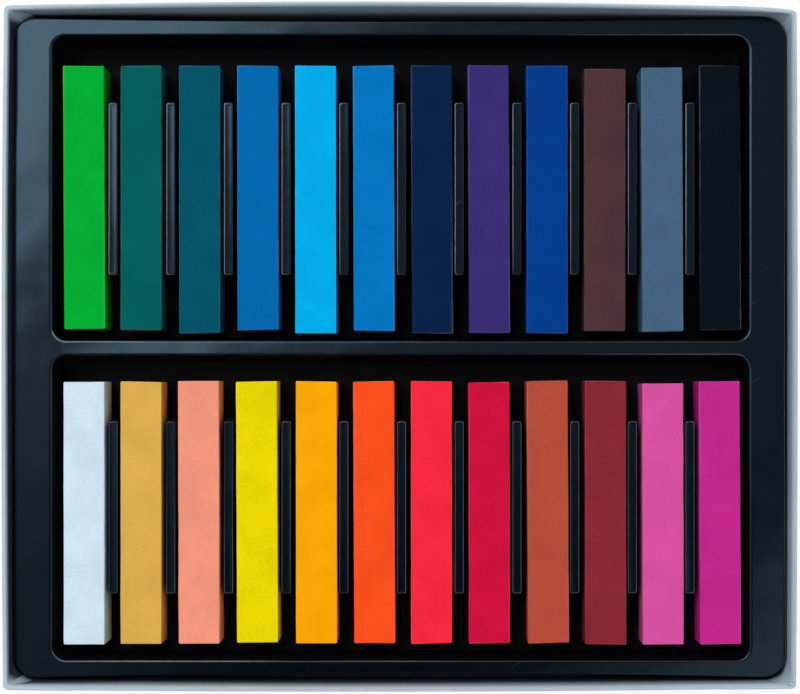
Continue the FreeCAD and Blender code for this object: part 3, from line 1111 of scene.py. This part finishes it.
def tray_ring(inward, z, radius, lapped=False):
    """The outline moved inwards, at one height. lapped adds the folded laps on the end walls."""
    half = (tray_half_x - inward, tray_half_y - inward)
    ring = []
    for quarter, (out_x, out_y) in enumerate(((1, 0), (0, 1), (-1, 0), (0, -1))):
        is_side = out_x != 0
        reach = half[1 if is_side else 0] - radius
        offset = half[0 if is_side else 1]
        bow = SIDE_BOW if is_side else END_BOW
        for number, along in enumerate(along_wall(reach, z)):
            out = offset + bow * (1 - along * along)
            if lapped and not is_side and not LAP_POINTS <= number < LAP_POINTS + MIDDLE_POINTS:
                out += LAP_THICKNESS
            ring.append((out_x * out - out_y * reach * along, out_y * out + out_x * reach * along))
        corner = [(part - radius) * sign for part, sign in zip(half, QUARTERS[quarter])]
        grown = radius + (LAP_THICKNESS / 2 if lapped else 0)
        for step in range(1, CORNER_STEPS):
            ring.append(on_circle(corner, grown, (quarter + step / CORNER_STEPS) * math.pi / 2))
    return [settled(x, y, z) for x, y in ring]


# %% [markdown]
# The wrap is a closed section carried round that outline. Each point of the section has its distance
# inwards and its height, and it stores how deep it lies inside the walls, for the painted shade. The rim
# is pressed rounder on the front, right and back walls than on the left one.

# %% The paper wrap
WALL = 1.15 * MM
PAPER = 0.12 * MM
RIM_OUTER_ROUND = 0.3 * MM
RIM_FLAT_END = 0.72 * MM
RIM_INNER_DROP = 0.75 * MM
FOOT_ROUND = 0.3 * MM
TURN_IN = 15.5 * MM
TURN_UNDER = 12.0 * MM
OUTSIDE_HEIGHTS = (4, 8, 12, 15)                # where the faces have points between, in mm
INSIDE_HEIGHTS = (16.4, 14.5, 12.5, 10.0, 7.0)
RIM_ROUNDER = 0.4 * MM          # how much less of the right and front rims is flat
RIM_ROUNDER_BACK = 0.75         # the back rim's share of that
RIM_SLOPE = 0.65 * MM           # how much lower the rim's inner end is on the right and front walls
RIM_SLOPE_BACK = 0.4
RIM_CHANGE = 12.0 * MM          # length over which the rims change into each other
NEAR_WALL = 4.0 * MM
SHADE_AT_LEFT = 5.0              # how much sooner painted shade darkens the left wall than the right one
SHADE_AT_BACK = 0.5
SHADE_AT_FRONT = 1.5
BACK_SHADIER = (0.4, 0.3)       # how far along to the left the wall's painted shade gets darker, and how fast
FRONT_SHADIER = (0.7, 5.0)


def rim_roll(share, shrink=0.0):
    """The paper's roll from the top of the rim into the inner face, as (inward, height)."""
    angle = share * math.pi / 2
    inward = RIM_FLAT_END + (WALL - RIM_FLAT_END - shrink) * math.sin(angle)
    return inward, rim_z - shrink - RIM_INNER_DROP * (1 - math.cos(angle))


def wrap_section():
    """The wrap's closed section: up the outside, over, down the inside, and back within."""
    top = rim_z
    outside = rounded_corner((TURN_UNDER, PAPER), (0.0, PAPER), (0.0, top), FOOT_ROUND, 3)
    outside += [(0.0, height * MM) for height in OUTSIDE_HEIGHTS]
    outside += rounded_corner((0.0, 0.0), (0.0, top), (WALL, top), RIM_OUTER_ROUND, 4)
    inside = [rim_roll(share / 7) for share in range(8)]
    inside += [(WALL, height * MM) for height in INSIDE_HEIGHTS] + [(WALL, top - TURN_IN)]
    back = [(WALL - PAPER, top - TURN_IN), (WALL - PAPER, 12 * MM)]
    back += [rim_roll(share / 3, PAPER) for share in (3, 2, 1, 0)]
    back += [(RIM_OUTER_ROUND, top - PAPER), (PAPER, top - RIM_OUTER_ROUND), (PAPER, 2 * PAPER)]
    back += [(TURN_UNDER, 2 * PAPER), (TURN_UNDER, PAPER)]
    return outside, inside, back


def share_near(gap):
    """1 at a wall, falling to 0 a few millimetres away from it."""
    return clamp(1.5 - gap / NEAR_WALL)


def painted_shade_depth(x, y, z):
    """How deep inside the walls a point lies, stretched where the painted shade is darker."""
    to_left = -x / tray_half_x
    back_from, back_rate = BACK_SHADIER
    front_from, front_rate = FRONT_SHADIER
    at_back = SHADE_AT_BACK + (SHADE_AT_LEFT - SHADE_AT_BACK) * back_rate * max(to_left - back_from, 0.0)
    at_front = SHADE_AT_FRONT + front_rate * max(to_left - front_from, 0.0)
    dust_and_shade = 1.0
    gaps = ((at_back, tray_half_y - y), (at_front, tray_half_y + y), (SHADE_AT_LEFT, tray_half_x + x))
    for at_wall, gap in gaps:
        dust_and_shade += (at_wall - dust_and_shade) * share_near(gap)
    return dust_and_shade * (rim_z - z) / (rim_z - flange_z)


def reshaped_rim(x, y, z, share):
    """Moves a point of the rim's roll to suit its wall. share is 1 on the flat top, 0 at its inner end."""
    past_back = clamp((tray_half_y - y) / RIM_CHANGE)
    past_left = clamp((tray_half_x + x) / RIM_CHANGE)
    past_right = clamp((tray_half_x - x) / RIM_CHANGE)
    on_right = share_near(tray_half_x - x) * past_back
    on_front = share_near(tray_half_y + y) * past_left
    on_back = share_near(tray_half_y - y) * past_left * past_right
    rounder = RIM_ROUNDER * share
    lower = RIM_SLOPE * (1 - share) * max(on_right, on_front, RIM_SLOPE_BACK * on_back)
    return x + rounder * on_right, y + rounder * (RIM_ROUNDER_BACK * on_back - on_front), z - lower


def build_wrap():
    """The wrap as one closed skin."""
    bm = bmesh.new()
    depth = bm.verts.layers.float.new("depth_inside")
    rings = []
    inner_rows = []
    for part, section in zip(("outside", "inside", "back"), wrap_section()):
        roll_end = WALL - PAPER if part == "back" else WALL
        for inward, z in section:
            radius = CORNER_ROUND + (INNER_ROUND - CORNER_ROUND) * clamp(inward / WALL)
            ring = tray_ring(inward, z, radius, lapped=part == "outside")
            if part != "outside" and z > rim_z - RIM_INNER_DROP - 2 * PAPER and inward >= RIM_FLAT_END:
                share = (roll_end - inward) / (roll_end - RIM_FLAT_END)
                ring = [reshaped_rim(*point, share) for point in ring]
            rings.append(ring)
            inner_rows.append(part == "inside")
    rows = add_rings(bm, rings)
    skin_between(bm, rows[-1], rows[0])
    for row, is_inside in zip(rows, inner_rows):
        for vert in row:
            # depth for the painted shade on the inner face; zero elsewhere
            vert[depth] = painted_shade_depth(*vert.co) if is_inside else 0.0
    bmesh.ops.recalc_face_normals(bm, faces=bm.faces)
    return mesh_from(bm, "paper_wrap")


wrap = new_object("paper_wrap", build_wrap())
wrap.data.materials.append(wrap_paper)
wrap = smooth(wrap, sharp_degrees=50)
dress(wrap, "tray", "wall_wrap")
print("wrap faces:", len(wrap.data.polygons))

# %% [markdown]
# The board walls and the tape at their corners are out of sight, but they have to stay inside the
# paper, so they are carried along the same outline. Each is a short closed section between two places
# of the outline, and the top of the board is worn round.

# %% Board walls and corner tape
def swept_between(name, sections, first, last):
    """A closed section carried along part of the outline, with both ends closed."""
    rings = [tray_ring(*section) for section in sections]
    total = len(rings[0])
    bm = bmesh.new()
    columns = [[bm.verts.new(ring[place % total]) for ring in rings] for place in range(first, last + 1)]
    for left, right in zip(columns, columns[1:]):
        skin_between(bm, left, right)
    bm.faces.new(columns[0])
    bm.faces.new(columns[-1][::-1])
    bmesh.ops.recalc_face_normals(bm, faces=bm.faces)
    return new_object(name, mesh_from(bm, name))


# distance inwards, and height below the board's top edge, in mm; the first and last are at its foot
BOARD_SECTION = [
    (0.24, 0.0), (0.24, 0.6), (0.36, 0.4), (0.5, 0.4), (0.65, 0.6), (0.8, 0.9), (0.92, 1.3), (0.99, 0.0),
]
BOARD_CORNER = 0.05 * MM
board_low, board_high = (corner.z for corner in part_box("front_wall_board"))
board_sections = [(inward * MM, board_high - below * MM, BOARD_CORNER) for inward, below in BOARD_SECTION]
for number in (0, -1):
    board_sections[number] = (board_sections[number][0], board_low, BOARD_CORNER)
for quarter, wall in enumerate(("right", "back", "left", "front")):
    trim = 0 if wall in ("back", "front") else 1
    first = quarter * POINTS_PER_QUARTER + trim
    last = first + POINTS_PER_WALL - 1 - 2 * trim
    board = swept_between("board_" + wall, board_sections, first, last)
    dress(board, "tray", wall + "_wall_board", grey_board)

STAY_OUTER = (0.135 * MM, 1.1 * MM)     # distance inwards and corner radius of the tape's two faces
STAY_INNER = (0.205 * MM, 1.0 * MM)
STAY_BELOW_TOP = 0.35 * MM
STAY_REACH = CORNER_STEPS + 4
stay_low, stay_high = (corner.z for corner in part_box("corner_stay_back_right"))
stay_top = stay_high - STAY_BELOW_TOP
stay_sections = []
for (inward, radius), heights in ((STAY_OUTER, (stay_low, stay_top)), (STAY_INNER, (stay_top, stay_low))):
    stay_sections += [(inward, height, radius) for height in heights]
for quarter, corner in enumerate(("back_right", "back_left", "front_left", "front_right")):
    middle = (quarter + 1) * POINTS_PER_QUARTER - CORNER_STEPS // 2
    stay = swept_between("stay_" + corner, stay_sections, middle - STAY_REACH, middle + STAY_REACH)
    dress(stay, "tray", "corner_stay_" + corner, gummed_tape)

# %% [markdown]
# Where the paper is turned in, it can't follow the sharp inner corner. It bridges it: from the rim, where
# it is only a pinched fold, it widens downwards into two slanting faces that meet in a ridge and fill the
# gap beside the insert's round corner. Each fold is a grid of points across the corner, with more rows
# where it bends, then smoothed and given the paper's thickness. Its ridge gets less painted shade than the
# rest.

# %% Corner folds
# inset from both outlines, height below the rim, share of the ridge's full reach, width, in mm
FOLD_ROWS = [
    (0.6, -0.02, 0.0, 0.2), (0.78, -0.06, 0.02, 0.35), (1.0, 0.02, 0.05, 0.55), (1.16, 0.35, 0.12, 0.9),
    (1.18, 1.0, 0.27, 1.6), (1.18, 2.4, 0.55, 2.8), (1.18, 4.0, 0.82, 3.8), (1.18, 5.5, 1.0, 4.6),
    (1.18, 9.0, 1.0, 4.6), (1.18, 13.0, 0.9, 4.2), (1.18, 15.2, 0.85, 4.0),
]
FOLD_ACROSS = [-1.0, -0.8, -0.45, -0.12, 0.0, 0.12, 0.45, 0.8, 1.0]
FOLD_HOLLOW = 1.6               # how hollow each face is between the wall and the ridge


def fold_point(side, inset, drop, share, width, ridge, across):
    """A point of a fold. across runs from -1 on the side wall, over 0 on the ridge, to 1 on the end wall."""
    run = abs(across)
    reach = [inset + part * share for part in ridge]
    own, other = (0, 1) if across < 0 else (1, 0)
    place = [0.0, 0.0]
    place[own] = inset + ridge[own] * share * (1 - run) ** FOLD_HOLLOW
    place[other] = reach[other] + (inset + width - reach[other]) * run
    x = side[0] * (tray_half_x - place[0] * MM)
    y = side[1] * (tray_half_y - place[1] * MM)
    return settled(x, y, rim_z - drop * MM)


def build_fold(side, ridge, shade_off_ridge):
    """One corner fold. ridge is its reach in x and y; the last argument is the share of painted shade left
    off its ridge.
    """
    bm = bmesh.new()
    depth = bm.verts.layers.float.new("depth_inside")
    rows = []
    for inset, drop, share, width in FOLD_ROWS:
        row = []
        for across in FOLD_ACROSS:
            point = bm.verts.new(fold_point(side, inset, drop, share, width, ridge, across))
            wall_x = side[0] * tray_half_x if across < 0 else 0.0
            wall_y = side[1] * tray_half_y if across > 0 else 0.0
            # depth for the painted shade, with less of it towards the ridge
            point[depth] = painted_shade_depth(wall_x, wall_y, point.co.z) * (1 - shade_off_ridge * (1 - abs(across)))
            row.append(point)
        rows.append(row)
    for upper, lower in zip(rows, rows[1:]):
        skin_between(bm, upper, lower, closed=False)
    bmesh.ops.recalc_face_normals(bm, faces=bm.faces)
    if sum(face.normal.z for face in bm.faces) < 0:
        bmesh.ops.reverse_faces(bm, faces=bm.faces)
    return mesh_from(bm, "fold")


# name: side of the tray, the ridge's reach in x and y in mm, how much painted shade is left off the ridge
FOLDS = {
    "back_left": ((-1, 1), (2.2, 1.4), 0.9), "back_right": ((1, 1), (1.6, 1.4), 0.5),
    "front_left": ((-1, -1), (2.1, 0.8), 0.5), "front_right": ((1, -1), (0.9, 1.2), 0.3),
}
for name, (side, ridge, shade_off_ridge) in FOLDS.items():
    fold = new_object("fold_" + name, build_fold(side, ridge, shade_off_ridge))
    add_modifier(fold, "SUBSURF", levels=2, render_levels=2)
    add_modifier(fold, "SOLIDIFY", thickness=PAPER, offset=-1.0)
    fold = smooth(finished(fold, "fold_" + name), sharp_degrees=60)
    dress(fold, "tray", material=wrap_paper)
print("folds:", len(FOLDS))

# %% [markdown]
# ## Floor, light and camera
#
# The floor is white for the camera and keeps a soft shadow. The room is a ring of light half way up,
# brighter at the back than at the front and dim at the horizon. Overhead it is dark to the front, with
# a weak glow to the back and left, so the black plastic stays black at the front and right and greys
# towards the back left. The camera looks straight down, a little off the middle, and its lens is
# shifted to bring the box back to the middle of the picture.

# %% White floor
FLOOR_WHITE = (0.82, 0.82, 0.82, 1.0)
PLAIN_WHITE = (1.0, 1.0, 1.0, 1.0)
FLOOR_HALF = 6.0
FLOOR_GLOW = 0.9                # share of plain white in what the camera sees of the floor


def seen_as(for_light, for_camera, camera_share=1.0):
    """Mixes two shaders: one that light meets, and one that the camera sees."""
    tree = for_light.id_data
    seen = times(tree.nodes.new("ShaderNodeLightPath").outputs["Is Camera Ray"], camera_share)
    return add_node(tree, "ShaderNodeMixShader", {0: seen, 1: for_light, 2: for_camera}).outputs[0]


def make_floor():
    """A wide white floor that still takes a faint shadow."""
    made = bpy.data.materials.new("white floor")
    made.use_nodes = True
    tree = made.node_tree
    tree.nodes.clear()
    dull = add_node(tree, "ShaderNodeBsdfDiffuse", {"Color": FLOOR_WHITE}).outputs[0]
    glow = add_node(tree, "ShaderNodeEmission", {"Strength": 1.0}).outputs[0]
    add_node(tree, "ShaderNodeOutputMaterial", {"Surface": seen_as(dull, glow, FLOOR_GLOW)})
    bm = bmesh.new()
    bmesh.ops.create_grid(bm, x_segments=1, y_segments=1, size=FLOOR_HALF)
    floor = new_object("floor", mesh_from(bm, "floor"))
    floor.data.materials.append(made)


make_floor()

# %% Room
RING_LEVEL = 1.09
RING_AT_FRONT = 0.72            # share of the ring's level that is left at the front
RING_AT_BACK = 1.28
OVERHEAD_FRONT = 0.0
OVERHEAD_BACK = 0.38
OVERHEAD_LEFT = 0.55
HORIZON_LEVEL = 0.16
# where each change of level starts and ends, as parts of a direction that is 1 long
RING_STARTS = (0.5, 0.64)
RING_ENDS = (0.8, 0.9)
FRONT_TO_BACK = (-0.7, 0.7)
BACK_GLOW = (-0.12, 0.03)
LEFT_GLOW = (-0.28, -0.08)


def make_room():
    """A broad soft ring of light all round, half way up, darker overhead and dim at the horizon."""
    world = bpy.data.worlds.new("studio")
    bpy.context.scene.world = world
    world.use_nodes = True
    tree = world.node_tree
    tree.nodes.clear()
    direction = split(tree.nodes.new("ShaderNodeTexCoord").outputs["Generated"])
    ring = remap(direction["Z"], *RING_STARTS, HORIZON_LEVEL, RING_LEVEL)
    in_ring = remap(direction["Z"], *RING_ENDS, 1.0, 0.0)
    lit_side = remap(direction["Y"], *FRONT_TO_BACK, RING_AT_FRONT, RING_AT_BACK)
    towards_back = remap(direction["Y"], *BACK_GLOW, OVERHEAD_FRONT, OVERHEAD_BACK)
    towards_left = remap(direction["X"], *LEFT_GLOW, OVERHEAD_LEFT, 0.0)
    low_part = times(times(ring, lit_side), in_ring)
    high_part = times(plus(towards_back, towards_left), minus(1.0, in_ring))
    inputs = {"Color": PLAIN_WHITE, "Strength": plus(low_part, high_part)}
    sky = add_node(tree, "ShaderNodeBackground", inputs).outputs[0]
    plain = add_node(tree, "ShaderNodeBackground", {"Color": PLAIN_WHITE}).outputs[0]
    add_node(tree, "ShaderNodeOutputWorld", {"Surface": seen_as(sky, plain)})


make_room()

# %% [markdown]
# The big lamp hangs behind and to the left. Its near edge is about 14 degrees off the vertical, so the
# black flange mirrors it at its back left. A small dim one at the front right does the same at the
# opposite corner.

# %% Lamps
LAMP_DISTANCE = 2.1
LAMP_COLOUR = (0.97, 0.99, 1.0)
# name: size in metres, tilt off the vertical in degrees, way it hangs (right, back), radiance
LAMPS = {
    "back left lamp": (1.2, 29.6, (-0.636, 0.771), 4.6),
    "front right lamp": (0.7, 22.8, (0.62, -0.785), 1.2),
}

for name, (size, tilt, way, radiance) in LAMPS.items():
    across = LAMP_DISTANCE * math.sin(math.radians(tilt))
    place = Vector((across * way[0], across * way[1], LAMP_DISTANCE * math.cos(math.radians(tilt))))
    light = bpy.data.lights.new(name, "AREA")
    light.shape = "SQUARE"
    light.size = size
    light.energy = radiance * math.pi * size * size
    light.color = LAMP_COLOUR
    lamp = new_object(name, light)
    lamp.location = place
    lamp.rotation_euler = (-place).to_track_quat("-Z", "Y").to_euler()

# %% Camera
PIXELS_PER_MM = 4.07            # at the sticks' top faces
PICTURE_WIDTH = 800
SENSOR = 36.0
HEIGHT_OVER_STICKS = 0.450
AXIS_X = 7.4 * MM               # where the lens axis meets the box
AXIS_Y = -11.7 * MM


def add_camera():
    """Straight down, with the box brought to the middle by a small lens shift."""
    data = bpy.data.cameras.new("camera")
    data.sensor_fit = "HORIZONTAL"
    data.sensor_width = SENSOR
    seen_width = PICTURE_WIDTH / PIXELS_PER_MM * MM
    data.lens = SENSOR * HEIGHT_OVER_STICKS / seen_width
    data.shift_x = -AXIS_X / seen_width
    data.shift_y = -AXIS_Y / seen_width
    data.clip_start = 0.01
    data.clip_end = 20.0
    camera = new_object("camera", data)
    camera.location = (AXIS_X, AXIS_Y, stick_top + HEIGHT_OVER_STICKS)
    bpy.context.scene.camera = camera
    print("lens", round(data.lens, 1), "shift", round(data.shift_x, 4), round(data.shift_y, 4))


add_camera()
bpy.context.scene.view_settings.view_transform = "Standard"
